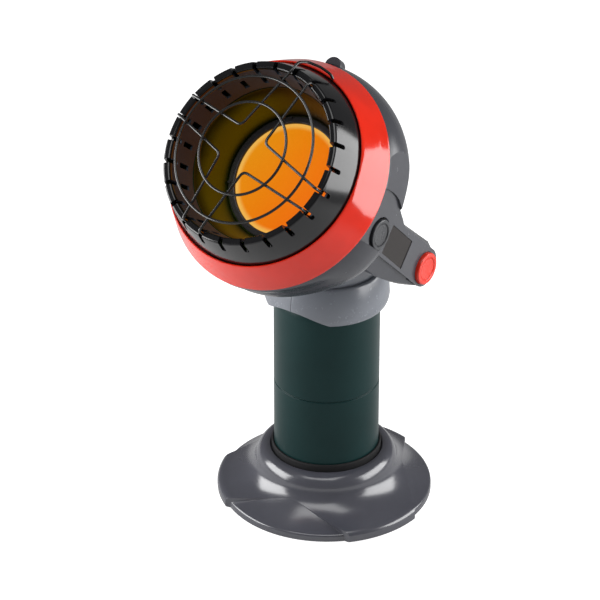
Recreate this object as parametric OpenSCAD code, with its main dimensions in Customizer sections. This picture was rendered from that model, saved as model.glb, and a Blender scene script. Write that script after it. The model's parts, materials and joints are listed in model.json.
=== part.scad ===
// Portable propane heater: a radiant head screwed onto a fuel cylinder that stands in a moulded base.
// Millimetres, +Z up. The origin is the middle of the base where it stands, and the head looks to -Y.

/* [Stand] */
// Radius of the base's rim
base_r = 103.5; // [101:0.5:108]
// Height of the lip round the cylinder
base_h = 48; // [46:0.5:52]
// Radius of the socket under its lip
socket_r = 54; // [53.6:0.1:54.6]
// Direction of the first of the three flat facets, degrees from +X
facet_angle = -82; // [-90:1:-70]

/* [Fuel cylinder] */
// Radius of the cylinder
cyl_r = 49.3; // [49:0.1:49.4]
// Height of its underside above the ground
cyl_bottom = 14; // [14:0.5:18]
// Height of the brazed seam
seam_z = 121; // [100:1:140]
// Height where the straight wall ends and the shoulder begins
shoulder_z = 204; // [200:0.5:204]
// Sheet thickness
cyl_wall = 1.2; // [1:0.1:1.5]
// Radius of the threaded valve
valve_r = 12.7; // [12.5:0.1:12.7]

/* [Head] */
// Forward place of the head's centre
head_y = -97; // [-98:0.5:-96]
// Height of the head's centre
head_z = 386; // [386:0.5:392]
// Upward tilt of the head
head_tilt = 41.5; // [41:0.5:42]
// Radius of the red bezel's rear edge
bezel_r = 106.8; // [106:0.2:107.6]
// Depth of the red bezel
bezel_d = 31.2; // [31:0.2:31.4]
// Largest radius of the rear cover
cover_r = 110.8; // [110:0.2:112]
// Depth of the rear cover's back
cover_d = 102; // [102:0.5:104]
// Radius of the glowing tile that shows
tile_r = 51.6; // [51:0.2:51.8]
// Number of slots round the front ring
slots = 24; // [20:1:28]
// Direction of the first slot
slot_angle = 6.4; // [0:0.2:14]

/* [Wire guard] */
// Radius of the wire
wire_r = 1.25; // [1:0.05:1.4]
// Radius of the inner ring
ring_in = 42.2; // [38:0.2:46]
// Radius of the outer ring
ring_out = 66.6; // [62:0.2:70]
// Half the width of the cross between the four corner wires
cross_half = 15; // [12:0.5:18]

/* [Control housing] */
// Distance of the control face from the centre plane
face_x = 97; // [97:0.5:99]
// Half the width of the face
face_half = 18; // [18:0.1:18.4]
// Middle of the face, across the head's axis
face_mid = -17.5; // [-18:0.1:-17]
// Place of the start button along the head's axis
start_t = -66.3; // [-68:0.2:-65]
// Place of the off button along the head's axis
off_t = -166.8; // [-170:0.2:-166]
// Travel of the start button
start_travel = 8; // [4:0.5:8]
// Travel of the off button
off_travel = 4; // [2:0.5:4]

/* [Hidden] */
$fn = 96;

gap = 0.3;                                  // air between neighbouring pieces
fine = 0.1;                                 // running clearance
far = 400;                                  // longer than anything here

// Stand
base_floor = cyl_bottom - 0.3;
rim_bottom = 1.5;
mouth_r = socket_r - 2;                     // inside of the lip
facet_half = 39.3;                          // half angle of a facet at the rim
facet_tip = 72;                             // radius where a facet begins
facet_rim = base_r - 3.8;                   // radius of the rim along a facet
foot_count = 6;
foot_ring = 88;
foot_r = 6;
pad_r = 12;                                 // the pad in the middle
pad_recess = 3.3;
rib_count = 9;

// Cylinder and thread joint
knuckle = 22;                               // radius of the shoulder
crown_z = shoulder_z + knuckle + 3;
lap = 10;                                   // overlap of the two halves at the seam
valve_top = crown_z + 14;
throat_r = 6;
core_r = 3.8;
relief_at = 27;
seal_h = 1.5;
roof_z = valve_top + seal_h + 0.1;          // inner roof of the regulator's socket
nose_r = 3.2;

// Regulator
web_z = roof_z + 2;                         // underside of the neck's inner web
web_h = 3;
flange_z = web_z + web_h + 0.2;
outlet_z = flange_z + 9.5;
body_top = flange_z + 18;
reg_r = 17.5;
reg_flange = 21;
outlet_r = 3;

// Collar and neck
collar_r = 58;
collar_bottom = 206.6;
ledge_z = 243;
neck_r = 49.3;
neck_wall = 2.6;
neck_top_t = -96;
neck_top_y = -8;
neck_hole = 36;

// Burner
tile_t = -47.4;
ring_t = -44.5;
cup_back = -72;
mix_y = 10;                                 // venturi's place across the head
mix_t = -85;
mix_r = 6.5;
jet_x = 64;

// Control housing
plate_h = 2.3;
shell_top = face_x - plate_h - 0.2;
shell_wall = 2.5;
inner_x = 52;
front_t = -32.5;
web_t = -106;                               // where the housing's web runs out
duct_t = -92.5;                             // the housing is open to the head in front of this
duct_x = 76;
cup_t = -147;                               // front edge of the off button's cup
cup_x = face_x - 3 - off_travel;
start_r = 14.4;
off_r = 16;
label_front = -82.8;
label_rear = -123;
label_half = 13.5;
stem_r = 4;
off_stem_r = 7.9;
piezo_r = 8;
piezo_top = 72.5;
block_front = -96;
block_rear = -128;
lead_y = 8;

// ---- functions ----

// A smooth bend from a to c that leaves a towards b.
function bend(a, b, c, n = 8) =
    [for (i = [0:n]) let (s = i / n) (1 - s) * (1 - s) * a + 2 * s * (1 - s) * b + s * s * c];

function arc(mid, r, from, to, n = 8) =
    [for (i = [0:n]) let (a = from + (to - from) * i / n) mid + r * [cos(a), sin(a)]];

function backwards(list) = [for (i = [len(list) - 1:-1:0]) list[i]];

function unit(v) = v / norm(v);

function ahead(path, i) = unit(path[min(i + 1, len(path) - 1)] - path[max(i - 1, 0)]);

function upright(side, along) = unit(side - (side * along) * along);

// Sideways direction at each point of a path, carried along it without twist.
function sideways(path) =
    [for (i = 0, s = upright([0.31, 0.52, 0.79], ahead(path, 0)); i < len(path);
          i = i + 1, s = i < len(path) ? upright(s, ahead(path, i)) : s) s];

// A path with its inner corners bent round.
function rounded(path, r, n = 4) = [
    path[0],
    for (i = [1:1:len(path) - 2])
        let (back = unit(path[i - 1] - path[i]), on = unit(path[i + 1] - path[i]))
        each bend(path[i] + r * back, path[i], path[i] + r * on, n),
    path[len(path) - 1]
];

// Point of the head's own frame, in the frame of the whole object.
function at_head(p) = [
    p.x,
    head_y - cos(head_tilt) * p.z + sin(head_tilt) * p.y,
    head_z + sin(head_tilt) * p.z + cos(head_tilt) * p.y
];

// ---- shared shapes ----

module on_head() {
    translate([0, head_y, head_z]) rotate([90 - head_tilt, 0, 0]) children();
}

module turned(points, fn = 180) {
    rotate_extrude($fn = fn) polygon(points);
}

// Extrudes an outline of [across, along] points of the head's frame from x0 to x1.
module across(x0, x1) {
    translate([x0, 0, 0]) rotate([90, 0, 90]) linear_extrude(x1 - x0) children();
}

// A round bar along X between x0 and x1, at a point [across, along] of the head's frame.
module rod_x(x0, x1, r, at) {
    translate([x0, at.x, at.y]) rotate([0, 90, 0]) cylinder(h = x1 - x0, r = r);
}

// A round wire or tube that follows a path.
module wire(path, r, sides = 10) {
    last = len(path) - 1;
    side = sideways(path);
    points = [
        for (i = [0:last])
            let (up = cross(ahead(path, i), side[i]))
            for (k = [0:sides - 1])
                let (a = 360 * k / sides)
                path[i] + r * (cos(a) * side[i] + sin(a) * up)
    ];
    walls = [
        for (i = [0:last - 1])
            for (k = [0:sides - 1])
                let (a = i * sides + k, b = i * sides + (k + 1) % sides)
                [a, a + sides, b + sides, b]
    ];
    ends = [
        [for (k = [0:sides - 1]) k],
        [for (k = [sides - 1:-1:0]) last * sides + k]
    ];
    polyhedron(points, concat(walls, ends), convexity = 6);
}

// A coil spring along Z from z = 0.
module coil(r, wire, h, turns) {
    steps = 14;
    path = [
        for (i = [0:steps * turns])
            let (a = 360 * i / steps)
            [r * cos(a), r * sin(a), wire + (h - 2 * wire) * i / (steps * turns)]
    ];
    wire(path, wire, 6);
}

module screw(shaft_r, head_r, length) {
    head_h = head_r * 0.7;
    cylinder(h = length, r = shaft_r, $fn = 24);
    translate([0, 0, length]) difference() {
        cylinder(h = head_h, r = head_r, $fn = 32);
        translate([0, 0, head_h / 2]) cylinder(h = head_h, r = head_r * 0.5, $fn = 6);
    }
}

// ---- stand ----

bell = concat(
    [[socket_r, base_h - 5], [mouth_r, base_h - 3]],
    arc([mouth_r + 2, base_h - 2], 2, 180, 90, 5),
    bend([mouth_r + 3, base_h], [socket_r + 10.5, base_h - 0.4], [socket_r + 12.2, base_h - 10.5], 8),
    bend([socket_r + 12.4, base_h - 11.5], [socket_r + 15.5, 21.5], [socket_r + 41, 13.5], 12),
    bend([base_r - 5.5, 12.8], [base_r, 11.4], [base_r, 6.5], 6)
);
under_bell = [
    [base_r - 5.6, rim_bottom], [base_r - 5.6, 2.6], [base_r - 9, 5.9], [base_r - 17, 11],
    [base_r - 25, 15.6], [socket_r + 20, 20.6], [socket_r + 15, 26], [socket_r + 11.5, 32],
    [socket_r + 8.5, 38], [socket_r + 4, 41.5]
];
facet_curve = concat(
    bend([facet_tip, 26], [facet_tip + 8.7, 15.6], [facet_rim - 1.7, 8.3], 8),
    bend([facet_rim - 1.4, 8.15], [facet_rim, 7.4], [facet_rim, 5], 4)
);

module facet_cut() {
    side = base_r * 1.15;
    intersection() {
        translate([0, 0, -1]) linear_extrude(base_h + 1)
            polygon([
                [facet_tip, 0],
                facet_tip * [1, 0] + 1.15 * (base_r * [cos(facet_half), sin(facet_half)] - [facet_tip, 0]),
                [side, side * sin(facet_half)],
                [side, -side * sin(facet_half)],
                facet_tip * [1, 0] + 1.15 * (base_r * [cos(facet_half), -sin(facet_half)] - [facet_tip, 0])
            ]);
        turned(concat(facet_curve, [[facet_rim, -1], [side + 4, -1], [side + 4, base_h], [facet_tip, base_h]]));
    }
}

module stand_base() {
    ring_seat = base_floor + 11;
    socket_wall = 2.6;
    rib = 2.2;
    color("dimgray") difference() {
        union() {
            turned(concat(bell, [[base_r, rim_bottom]], under_bell, [
                [socket_r + socket_wall, base_h - 7],
                [socket_r + socket_wall, base_floor - 2.5], [0, base_floor - 2.5],
                [0, base_floor], [socket_r - 3, base_floor],
                [socket_r - 3, ring_seat], [socket_r, ring_seat]
            ]));
            for (k = [0:rib_count - 1])
                rotate([90, 0, 360 * k / rib_count]) translate([0, 0, -rib / 2]) linear_extrude(rib)
                    polygon(concat([for (p = under_bell) if (p.y > 5) p + [0.4, 0.4]],
                                   [[socket_r + 1, base_h - 7], [socket_r + 1, base_floor]]));
            intersection() {
                feet() translate([0, 0, rim_bottom]) cylinder(h = 20, r = foot_r + 1.2, $fn = 40);
                turned(concat([for (p = under_bell) if (p.y > 2) p + [0.4, 0.4]], [
                    [socket_r + 1, base_h - 7], [socket_r + 1, rim_bottom], [base_r - 5.2, rim_bottom]
                ]));
            }
            translate([0, 0, rim_bottom]) cylinder(h = base_floor - 1 - rim_bottom, r = pad_r + 2);
        }
        for (k = [0:2])
            rotate([0, 0, facet_angle + 120 * k]) facet_cut();
        feet() cylinder(h = pad_recess, r = foot_r + fine, $fn = 40);
        cylinder(h = pad_recess, r = pad_r + fine);
    }
}

// Sets a copy at each outer foot.
module feet() {
    for (k = [0:foot_count - 1])
        rotate([0, 0, 360 * k / foot_count + 8]) translate([foot_ring, 0, 0]) children();
}

module grip_ring() {
    low = base_floor + 11.1;
    outer = socket_r - gap;
    neck = mouth_r - gap;
    lip = cyl_r + gap;
    top = base_h + 6;
    color("#1c1c1c") turned([
        [lip + 0.9, low], [outer, low], [outer, base_h - 5.4], [neck, base_h - 3.4],
        [neck, top - 2], [neck - 0.6, top - 0.6], [neck - 1.6, top], [lip, top - 0.6],
        [lip, top - 3], [lip + 0.9, top - 4], [lip + 0.9, low + 4.5], [lip, low + 3.5], [lip, low + 1.5]
    ]);
}

module base_feet() {
    color("#1c1c1c") {
        feet() cylinder(h = pad_recess - fine, r = foot_r, $fn = 40);
        cylinder(h = pad_recess - fine, r = pad_r);
    }
}

// ---- fuel cylinder ----

module cylinder_lower_half() {
    edge = 7.3;                             // radius of the bottom edge
    mid = [cyl_r - edge, cyl_bottom + edge];
    step_r = cyl_r - cyl_wall - fine;       // joggled neck inside the upper half
    color("darkgreen") turned(concat(
        [[0, cyl_bottom + 4], [mid.x - 12, cyl_bottom + 2], [mid.x - 4, cyl_bottom]],
        arc(mid, edge, -90, 0, 6),
        [[cyl_r, seam_z - 0.4], [step_r, seam_z + 0.6], [step_r, seam_z + lap],
         [step_r - cyl_wall, seam_z + lap], [step_r - cyl_wall, seam_z - 1],
         [cyl_r - cyl_wall, seam_z - 2]],
        backwards(arc(mid, edge - cyl_wall, -90, 0, 6)),
        [[mid.x - 4, cyl_bottom + cyl_wall], [mid.x - 12, cyl_bottom + cyl_wall + 2],
         [0, cyl_bottom + cyl_wall + 4]]
    ));
}

module cylinder_upper_half() {
    mid = [cyl_r - knuckle, shoulder_z];
    hole = valve_r + 0.15;
    color("darkgreen") difference() {
        turned(concat(
            [[cyl_r, seam_z + 0.4]], arc(mid, knuckle, 0, 90, 10), [[hole, crown_z]],
            [[hole, crown_z - cyl_wall]], backwards(arc(mid, knuckle - cyl_wall, 0, 90, 10)),
            [[cyl_r - cyl_wall, seam_z + 0.4]]
        ));
        translate([relief_at, 0, shoulder_z]) cylinder(h = knuckle + 10, r = 3.65, $fn = 32);
    }
}

module cylinder_valve() {
    color("silver") difference() {
        translate([0, 0, crown_z - 6]) cylinder(h = valve_top - crown_z + 6, r = valve_r);
        translate([0, 0, valve_top - 9]) cylinder(h = 10, r = throat_r, $fn = 48);
        translate([0, 0, crown_z - 7]) cylinder(h = 20, r = core_r + 0.2, $fn = 48);
    }
}

module valve_core() {
    color("goldenrod") translate([0, 0, crown_z - 3]) {
        cylinder(h = 8, r = core_r, $fn = 40);
        cylinder(h = valve_top - crown_z - 2, r = 1.2, $fn = 24);
    }
}

module relief_valve() {
    color("silver") translate([relief_at, 0, shoulder_z + knuckle - 5]) difference() {
        cylinder(h = 10, r = 3.5, $fn = 32);
        translate([0, 0, 7]) cylinder(h = 4, r = 2, $fn = 6);
    }
}

// ---- thread joint and regulator ----

module inlet_seal() {
    color("#202020") translate([0, 0, valve_top + 0.05]) difference() {
        cylinder(h = seal_h, r = valve_r - 0.3);
        translate([0, 0, -1]) cylinder(h = seal_h + 2, r = throat_r - fine, $fn = 48);
    }
}

module nose_seal() {
    section = 1.15;
    color("#202020") translate([0, 0, valve_top - 3])
        rotate_extrude($fn = 48) translate([nose_r + section + 0.1, 0]) circle(r = section, $fn = 20);
}

module regulator_body() {
    socket_bottom = crown_z + 2.5;
    color("silver") difference() {
        union() {
            translate([0, 0, socket_bottom]) cylinder(h = body_top - socket_bottom, r = reg_r);
            translate([0, 0, flange_z]) cylinder(h = 3, r = reg_flange);
            translate([0, 0, body_top - 2]) cylinder(h = 2, r = reg_flange);
            translate([0, 0, outlet_z]) rotate([0, 90, 0]) cylinder(h = 24, r = outlet_r + 1.8, $fn = 40);
        }
        translate([0, 0, socket_bottom - 1])
            cylinder(h = roof_z - socket_bottom + 1, r = valve_r + fine);
        translate([0, 0, roof_z - 1]) cylinder(h = far, r = nose_r + fine, $fn = 40);
        translate([0, 0, body_top - 3.5]) cylinder(h = 5, r = 14);
        translate([reg_r - 5, 0, outlet_z]) rotate([0, 90, 0]) cylinder(h = 20, r = outlet_r + fine, $fn = 40);
    }
}

module inlet_pin() {
    low = valve_top - 4.8;
    color("goldenrod") translate([0, 0, low]) difference() {
        cylinder(h = roof_z + 6 - low, r = nose_r, $fn = 40);
        translate([0, 0, 2]) cylinder(h = 20, r = 1, $fn = 20);
    }
}

module regulator_diaphragm() {
    color("#303030") translate([0, 0, body_top + 0.15]) {
        cylinder(h = 0.8, r = reg_flange - 0.5);
        cylinder(h = 1.8, r = 6, $fn = 40);
    }
}

module regulator_spring() {
    color("lightsteelblue") translate([0, 0, body_top + 2.1]) coil(9, 0.8, 12, 4);
}

module regulator_cap() {
    color("silver") translate([0, 0, body_top + 1.2]) difference() {
        union() {
            cylinder(h = 2.2, r = reg_flange);
            cylinder(h = 16, r = 15);
        }
        translate([0, 0, -1]) cylinder(h = 14.5, r = 12.5);
        cylinder(h = 30, r = 1.5, $fn = 20);
    }
}

// ---- collar and neck ----

collar_out = [
    [collar_r - 2, collar_bottom], [collar_r - 0.7, collar_bottom + 2.8], [collar_r, collar_bottom + 7],
    [collar_r - 0.3, 219], [collar_r - 1.4, 228], [collar_r - 3.2, 236], [collar_r - 5, ledge_z - 1.8],
    [collar_r - 6.2, ledge_z - 0.4], [neck_r, ledge_z]
];

// The bent neck between the ledge and the back of the head, grown by g all round.
module elbow(g) {
    hull() {
        translate([0, 0, ledge_z - 3]) cylinder(h = 6, r = neck_r + g, $fn = 32);
        on_head() translate([0, neck_top_y, neck_top_t - 1]) cylinder(h = 4, r = neck_r + g, $fn = 32);
    }
}

cover_out = concat(
    bend([bezel_r - 1, -bezel_d - 0.5], [cover_r + 0.7, -45], [cover_r, -58], 8),
    bend([cover_r, -58], [cover_r - 0.8, -76], [92, -88.5], 8),
    bend([92, -88.5], [66, -cover_d], [0, -cover_d], 8)
);
cover_in = concat(
    bend([bezel_r - 3.5, -bezel_d - 0.5], [cover_r - 1.8, -45], [cover_r - 2.5, -57], 8),
    bend([cover_r - 2.5, -57], [cover_r - 3.3, -74], [90.5, -86.3], 8),
    bend([90.5, -86.3], [65, 2.5 - cover_d], [0, 2.5 - cover_d], 8)
);

module neck() {
    arch_r = 61;                            // arch of the collar's lower edge at the front
    screw_at = [[38, 256], [-40, 262]];
    difference() {
        union() {
            turned(concat(collar_out, [
                [neck_r - neck_wall, ledge_z + 6], [neck_r - neck_wall, ledge_z - 4],
                [collar_r - 7.6, ledge_z - 5], [collar_r - 3.8, 226], [collar_r - 2.8, 214],
                [collar_r - 3.4, collar_bottom]
            ]));
            difference() {
                elbow(0);
                elbow(-neck_wall);
                translate([0, 0, -far + ledge_z]) cylinder(h = far, r = far);
            }
            translate([0, 0, web_z]) difference() {
                cylinder(h = web_h, r = neck_r - 1);
                translate([0, 0, -1]) cylinder(h = web_h + 2, r = reg_r + 0.4);
            }
            intersection() {
                elbow(-0.5);
                for (p = screw_at)
                    translate([0, p.x, p.y]) rotate([0, 90, 0]) cylinder(h = 110, r = 4.5, center = true);
            }
        }
        on_head() turned(concat([for (p = cover_out) p + [0.35, -0.35]], [[0, 60], [110, 60]]), 120);
        translate([0, -collar_r, collar_bottom + 11 - arch_r]) rotate([90, 0, 0])
            cylinder(h = 100, r = arch_r, center = true);
        for (p = screw_at)
            translate([0, p.x, p.y]) rotate([0, 90, 0]) {
                cylinder(h = 34, r = 1.7, center = true, $fn = 32);
                translate([0, 0, 14]) cylinder(h = 60, r = 3.6, $fn = 32);
            }
    }
}

module neck_left() {
    color("dimgray") difference() {
        neck();
        translate([-0.05, -far, 0]) cube([far, 2 * far, 2 * far]);
    }
}

module neck_right() {
    color("slategray") difference() {
        neck();
        translate([0.05 - far, -far, 0]) cube([far, 2 * far, 2 * far]);
    }
}

module neck_screws() {
    color("silver") for (p = [[38, 256], [-40, 262]])
        translate([-14, p.x, p.y]) rotate([0, 90, 0]) screw(1.6, 3.2, 28.1);
}

// ---- head shells ----

module rear_cover() {
    lug_r = 8.2;
    color("dimgray") on_head() difference() {
        union() {
            turned(concat(
                [[bezel_r - 6.4, -27.5], [bezel_r - 4.4, -27.5], [bezel_r - 3.4, -bezel_d - 0.5]],
                cover_out, backwards(cover_in), [[bezel_r - 5.4, -bezel_d - 1.5]]
            ));
            intersection() {
                turned(concat(cover_out, [[0, -bezel_d - 2], [bezel_r, -bezel_d - 2]]));
                for (a = cover_screw_angles)
                    rotate([0, 0, a]) translate([cover_screw_r, 0, -90]) cylinder(h = 56, r = 5, $fn = 40);
            }
            difference() {
                translate([0, cover_r - 2, -52]) cylinder(h = 10, r = lug_r);
                turned([[0, -60], [cover_r - 1.5, -60], [cover_r - 1.5, -30], [0, -30]]);
            }
        }
        translate([0, neck_top_y, -far]) cylinder(h = far - 80, r = neck_hole);
        across(inner_x - 0.4, far) housing_outline(0.4);
        across(inner_x - 0.4, face_x - 3) belly_outline(0.4);
        for (a = cover_screw_angles)
            rotate([0, 0, a]) translate([cover_screw_r, 0, -far]) {
                cylinder(h = far, r = 2.1, $fn = 32);
                cylinder(h = far - 74, r = 4.4, $fn = 40);
            }
    }
}

cover_screw_angles = [50, 130, 222, 300];
cover_screw_r = 93.5;

module red_bezel() {
    color("orangered") on_head() difference() {
        union() {
            turned([
                [93.4, 0], [94.2, 0], [94.9, -0.8], [99.2, -11], [102.7, -19.6], [105, -26],
                [bezel_r, -bezel_d], [bezel_r - 2.2, -bezel_d], [bezel_r - 4, -26.2],
                [100.5, -19.8], [97, -11.4], [92.9, -3.2]
            ]);
            intersection() {
                for (a = cover_screw_angles)
                    rotate([0, 0, a]) translate([cover_screw_r, 0, -30.5]) cylinder(h = 19, r = 4.6, $fn = 40);
                turned([[0, 0], [94.4, -1], [98.7, -11], [102, -19.6], [104, -26], [105.6, -31.2], [0, -31.2]]);
            }
        }
        for (a = cover_screw_angles)
            rotate([0, 0, a]) translate([cover_screw_r, 0, -31]) cylinder(h = 15, r = 2, $fn = 32);
    }
}

module cover_screws() {
    color("silver") on_head() for (a = cover_screw_angles)
        rotate([0, 0, a]) translate([cover_screw_r, 0, -18]) rotate([180, 0, 0]) screw(1.9, 3.8, 56);
}

module front_ring() {
    slot_w = 3.5;
    vent_w = 4.6;
    color("#222222") on_head() difference() {
        turned([
            [84.2, 27.5], [83.4, 29.2], [81.8, 30], [79.4, 30], [77.8, 29.2], [77, 27.5], [76.7, 25],
            [71.5, -3.5], [73.7, -3.5], [78.9, 24.8], [80.5, 27], [82, 26.6],
            [90.1, 0.4], [89.4, -6], [91.6, -6], [92.4, 0.4]
        ]);
        for (k = [0:slots - 1])
            rotate([0, 0, slot_angle + 360 * k / slots]) {
                translate([75, -slot_w / 2, 21]) cube([20, slot_w, 20]);
                translate([75, 0, 21]) rotate([0, 90, 0]) cylinder(h = 20, r = slot_w / 2, $fn = 24);
                translate([69, -vent_w / 2, 3.5]) cube([9.5, vent_w, 11.5]);
            }
    }
}

module reflector_bowl() {
    sheet = 1;
    wall = bend([71, -4.9], [64.5, -22], [58.5, -46.2], 8);
    color("#8a7a3a") on_head() difference() {
        turned(concat(
            [[88, -3.9], [70.8, -3.9]], wall, [[54.6, -46.2], [54.6, -47.2]],
            backwards([for (p = wall) p + [sheet + 0.1, -sheet]]), [[88, -3.9 - sheet]]
        ));
        translate([50, -13, -45]) cube([30, 26, 9]);
        burner_screw_holes(-60, 1.15);
    }
}

// ---- wire guard ----

pitch = 360 / slots;
cross_turn = slot_angle - 1.5 * pitch;      // each leg of a corner wire drops into a slot
ring_in_t = 41.6;
ring_out_t = 39;
leg_r = 80.5;                               // radius where a leg drops into its slot
leg_end = 23;
under = 2 * wire_r + 0.03;                  // the corner wires lie just under both rings
slope = (ring_in_t - ring_out_t) / (ring_out - ring_in + 1);
leg_foot = leg_r * [cos(pitch / 2), sin(pitch / 2)];

// Height of a leg above the head's centre plane, at a distance x along it.
function leg_t(x) = ring_in_t - under - 0.05 - slope * (x - ring_in + 2);

function polar(r, a, t) = [r * cos(a), r * sin(a), t];

module wire_guard() {
    corner = [cross_half, cross_half, leg_t(cross_half)];
    foot = [leg_foot.x, leg_foot.y, leg_t(leg_foot.x)];
    short_leg = [[foot.x, foot.y, leg_end], foot];
    long_leg = [                            // runs over the rim and down to the red bezel
        polar(95, -3.9, 1.6), polar(96.8, -2.6, 5), polar(96.5, 2, 13),
        polar(94, 6.5, 23), polar(89, 8.2, 32), polar(82, 7.7, leg_t(81.3))
    ];
    other_leg = [[foot.y, foot.x, foot.z], [foot.y, foot.x, leg_end]];
    color("#181818") on_head() {
        translate([0, 0, ring_in_t]) rotate_extrude() translate([ring_in, 0]) circle(r = wire_r, $fn = 24);
        translate([0, 0, ring_out_t]) rotate_extrude() translate([ring_out, 0]) circle(r = wire_r, $fn = 24);
        for (q = [0:3])
            rotate([0, 0, cross_turn + 90 * q])
                wire(rounded(concat(q == 1 ? long_leg : short_leg, [corner], other_leg), 3.5), wire_r);
    }
}

// ---- burner ----

module ceramic_tile() {
    color("orange") on_head() translate([0, 0, tile_t - 7.6]) cylinder(h = 7.6, r = tile_r + 1.3);
}

module burner_gasket() {
    color("ivory") on_head() turned([
        [tile_r - 1.5, tile_t - 8.8], [tile_r + 1.2, tile_t - 8.8],
        [tile_r + 1.2, tile_t - 7.8], [tile_r - 1.5, tile_t - 7.8]
    ]);
}

module burner_cup() {
    in_r = tile_r + 1.5;
    color("gray") on_head() difference() {
        turned([
            [62, tile_t - 1], [62, tile_t], [in_r, tile_t], [in_r, tile_t - 9.1], [49.5, tile_t - 9.1],
            [44, cup_back + 1.2], [0, cup_back + 1.2], [0, cup_back], [44.8, cup_back],
            [50.6, tile_t - 10.3], [in_r + 1.2, tile_t - 10.3], [in_r + 1.2, tile_t - 1]
        ]);
        translate([0, mix_y, cup_back - 5]) cylinder(h = 10, r = mix_r + 0.8, $fn = 48);
        burner_screw_holes(-60, 1.15);
    }
}

module burner_screw_holes(from, r) {
    for (a = [20, 110, 200, 290])
        rotate([0, 0, a]) translate([56.5, 0, from]) cylinder(h = 40, r = r, $fn = 24);
}

module burner_ring() {
    color("#3a3330") on_head() difference() {
        turned([
            [tile_r, tile_t + 0.3], [tile_r, ring_t - 0.6], [tile_r + 0.6, ring_t], [57.2, ring_t],
            [58, ring_t - 0.7], [58, -46.1], [tile_r + 1.2, -46.1], [tile_r + 1.2, tile_t + 0.3]
        ]);
        burner_screw_holes(-60, 1.15);
    }
}

module burner_screws() {
    color("silver") on_head() for (a = [20, 110, 200, 290])
        rotate([0, 0, a]) translate([56.5, 0, ring_t - 5.4]) screw(1, 1.4, 5.5);
}

module heat_shield() {
    color("lightgray") on_head() difference() {
        turned([[0, -75.6], [58, -75.6], [61, -72], [60.2, -71.4], [57.4, -74.8], [0, -74.8]]);
        translate([0, mix_y, -80]) cylinder(h = 10, r = mix_r + 0.9, $fn = 48);
    }
}

module venturi_tube() {
    port_r = mix_r - 0.4;
    color("silver") on_head() difference() {
        union() {
            rod_x(-8, 55, mix_r, [mix_y, mix_t]);
            translate([55, mix_y, mix_t]) rotate([0, 90, 0]) cylinder(h = 4, r1 = mix_r, r2 = mix_r + 2);
            translate([0, mix_y, mix_t]) cylinder(h = cup_back + 0.6 - mix_t, r = port_r);
        }
        rod_x(-6.5, 70, mix_r - 1.3, [mix_y, mix_t]);
        translate([0, mix_y, mix_t]) cylinder(h = 30, r = port_r - 1.3);
        translate([55.1, mix_y, mix_t]) rotate([0, 90, 0]) cylinder(h = 4, r1 = mix_r - 1.3, r2 = mix_r + 0.9);
    }
}

module gas_jet() {
    color("goldenrod") on_head() difference() {
        union() {
            rod_x(jet_x - 2, jet_x + 1, 2, [mix_y, mix_t]);
            translate([jet_x + 1, mix_y, mix_t]) rotate([0, 90, 0]) cylinder(h = 4, r = 3.4, $fn = 6);
        }
        rod_x(jet_x - 3, jet_x + 8, 0.4, [mix_y, mix_t]);
    }
}

module jet_tube() {
    color("goldenrod") on_head() wire(rounded([
        [68, -14, block_front + 0.2], [68, -14, -88.5], [jet_x + 9, -6, mix_t],
        [jet_x + 9, mix_y, mix_t], [jet_x + 5.1, mix_y, mix_t]
    ], 2.5), 1.6, 12);
}

module gas_tube() {
    inlet = [reg_r - 3, 0, outlet_z];
    color("goldenrod") wire(rounded([
        inlet, [34, 0, outlet_z], [32, -8, 290], at_head([22, -24, -104]), at_head([24, -24, -88]),
        at_head([72, -26, -87.5]), at_head([72, -26, block_front + 0.2])
    ], 5), outlet_r, 12);
}

// ---- pilot, thermocouple and spark ----

module pilot_burner() {
    color("silver") on_head() difference() {
        union() {
            rod_x(52, 80, 2.6, [0.5, -41]);
            rod_x(72, 76, 3.4, [0.5, -41]);
        }
        rod_x(51, 70, 1.7, [0.5, -41]);
    }
}

module pilot_tube() {
    color("goldenrod") on_head() wire(rounded([
        [84, -4, block_front + 0.2], [84, -1, -88], [84, 0.5, -60], [84, 0.5, -41], [80.2, 0.5, -41]
    ], 2.5), 1.3);
}

module thermocouple() {
    color("peru") on_head() wire(rounded([
        [50, lead_y, -41], [88.5, lead_y, -41], [88.5, lead_y - 2, -72], [88.5, -5, -98], [88.5, -5, -134],
        [81.4, -12, -138]
    ], 4), 1.1);
}

module igniter_electrode() {
    color("white") on_head() {
        rod_x(58, 78, 1.7, [-8, -41]);
        rod_x(50, 58, 0.6, [-8, -41]);
    }
}

module igniter_lead() {
    color("#aa2222") on_head() wire(rounded([
        [66, -14, start_t + piezo_r + 0.2], [68, -12.5, -52], [82, -9, -46], [82, -8, -41], [78.2, -8, -41]
    ], 2.2), 0.9);
}

// ---- control housing ----

// Outline of the face, as [across, along] points, grown by g.
module housing_outline(g) {
    half = face_half + g;
    translate([face_mid, off_t]) circle(r = half);
    translate([face_mid - half, off_t]) square([2 * half, front_t + g - off_t]);
    polygon([
        [face_mid, web_t - g], [face_mid + face_half, web_t - g], [3.8 + g, -99], [9.8 + g, -85],
        [17.5 + g, -73], [19.8 + g, -56], [19 + g, -44], [17 + g, front_t + g], [face_mid, front_t + g]
    ]);
}

// Outline of the bulging underside, as [across, along] points, grown by g.
module belly_outline(g) {
    low = bend([face_mid - 20 - g, front_t + g], [face_mid - 34.5 - g, -110], [face_mid - 13 - g, -176], 10);
    polygon(concat(
        low, bend([face_mid - 13 - g, -176], [face_mid - 3, -185 - g], [face_mid + 13 + g, -176], 6),
        [[face_mid + 16 + g, -168], [face_mid + 16 + g, front_t + g]]
    ));
}

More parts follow.
